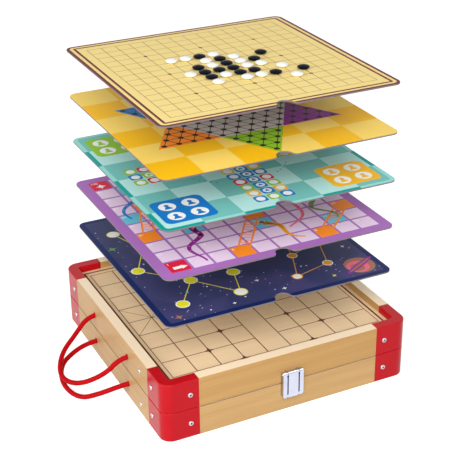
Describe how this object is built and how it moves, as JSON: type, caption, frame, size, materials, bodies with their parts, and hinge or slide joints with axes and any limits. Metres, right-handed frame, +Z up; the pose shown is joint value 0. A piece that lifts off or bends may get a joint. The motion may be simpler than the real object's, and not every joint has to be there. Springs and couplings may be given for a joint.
{
  "type": "games compendium box",
  "caption": "Hinged wooden games box with red moulded corners, rope handles and a clasp, and a set of printed boards and stones lifted above its recessed lid.",
  "frame": {"origin": "centre of the box's underside, where it rests on the table", "axes": "+X to the right along the clasp side, +Y from the clasp to the hinges, +Z up"},
  "size_m": [0.3542, 0.3025, 0.3417],
  "materials": {
    "pine": "satin lacquer",
    "plywood": "bare, sanded",
    "printed_panel": "printed plywood, satin",
    "red_plastic": "gloss",
    "red_rope": "braided",
    "plated_steel": "bright zinc plate",
    "chrome": "polished",
    "star_board_card": "printed card, satin",
    "ladders_board_card": "printed card, satin",
    "ludo_board_card": "printed card, satin",
    "checkers_board_card": "printed card, satin",
    "gomoku_board_card": "printed card, satin",
    "black_stone": "gloss",
    "white_stone": "gloss"
  },
  "bodies": {
    "base": {"base_panel": "plywood", "base_front_wall": "pine", "base_rear_wall": "pine", "base_left_wall": "pine", "base_right_wall": "pine", "base_corner_front_left": "red_plastic", "base_corner_front_right": "red_plastic", "base_corner_rear_left": "red_plastic", "base_corner_rear_right": "red_plastic", "base_corner_screws": "plated_steel", "base_wall_screws": "plated_steel", "base_rope": "red_rope", "base_rope_knots": "red_rope", "hinge_base_leaves": "plated_steel", "hinge_base_screws": "plated_steel", "divider_cross": "plywood", "divider_left": "plywood", "divider_right": "plywood", "divider_front": "plywood", "hinge_pins": "plated_steel", "latch_catch": "chrome", "latch_catch_rivets": "chrome"},
    "lid": {"lid_panel": "printed_panel", "lid_front_wall": "pine", "lid_rear_wall": "pine", "lid_left_wall": "pine", "lid_right_wall": "pine", "lid_corner_front_left": "red_plastic", "lid_corner_front_right": "red_plastic", "lid_corner_rear_left": "red_plastic", "lid_corner_rear_right": "red_plastic", "lid_corner_screws": "plated_steel", "lid_wall_screws": "plated_steel", "lid_rope": "red_rope", "lid_rope_knots": "red_rope", "hinge_lid_leaves": "plated_steel", "hinge_lid_screws": "plated_steel", "lid_batten": "plywood", "latch_plate": "chrome", "latch_plate_rivets": "chrome", "latch_pin": "chrome"},
    "latch_lever": {"latch_lever": "chrome"},
    "star_board": {"star_board": "star_board_card"},
    "ladders_board": {"ladders_board": "ladders_board_card"},
    "ludo_board": {"ludo_board": "ludo_board_card"},
    "checkers_board": {"checkers_board": "checkers_board_card"},
    "gomoku_board": {"gomoku_board": "gomoku_board_card"},
    "black_stones": {"black_stones": "black_stone"},
    "white_stones": {"white_stones": "white_stone"}
  },
  "joints": [
    {"name": "lid_hinge", "type": "hinge", "parent": "base", "child": "lid", "pos_m": [0, 0.14795, 0.0342], "axis": [1, 0, 0], "range_deg": [-95, 0]},
    {"name": "latch_swing", "type": "hinge", "parent": "lid", "child": "latch_lever", "pos_m": [0, -0.1493, 0.0465], "axis": [1, 0, 0], "range_deg": [-110, 0]},
    {"name": "star_board_lift", "type": "slide", "parent": "lid", "child": "star_board", "axis": [0, 0, 1], "range_m": [-0.0642, 0]},
    {"name": "ladders_board_lift", "type": "slide", "parent": "star_board", "child": "ladders_board", "axis": [0, 0, 1], "range_m": [-0.0512, 0]},
    {"name": "ludo_board_lift", "type": "slide", "parent": "ladders_board", "child": "ludo_board", "axis": [0, 0, 1], "range_m": [-0.0512, 0]},
    {"name": "checkers_board_lift", "type": "slide", "parent": "ludo_board", "child": "checkers_board", "axis": [0, 0, 1], "range_m": [-0.0512, 0]},
    {"name": "gomoku_board_lift", "type": "slide", "parent": "checkers_board", "child": "gomoku_board", "axis": [0, 0, 1], "range_m": [-0.0512, 0]},
    {"name": "black_stones_lift", "type": "slide", "parent": "gomoku_board", "child": "black_stones", "axis": [0, 0, -1], "range_m": [-0.03, 0]},
    {"name": "white_stones_lift", "type": "slide", "parent": "gomoku_board", "child": "white_stones", "axis": [0, 0, -1], "range_m": [-0.03, 0]}
  ]
}
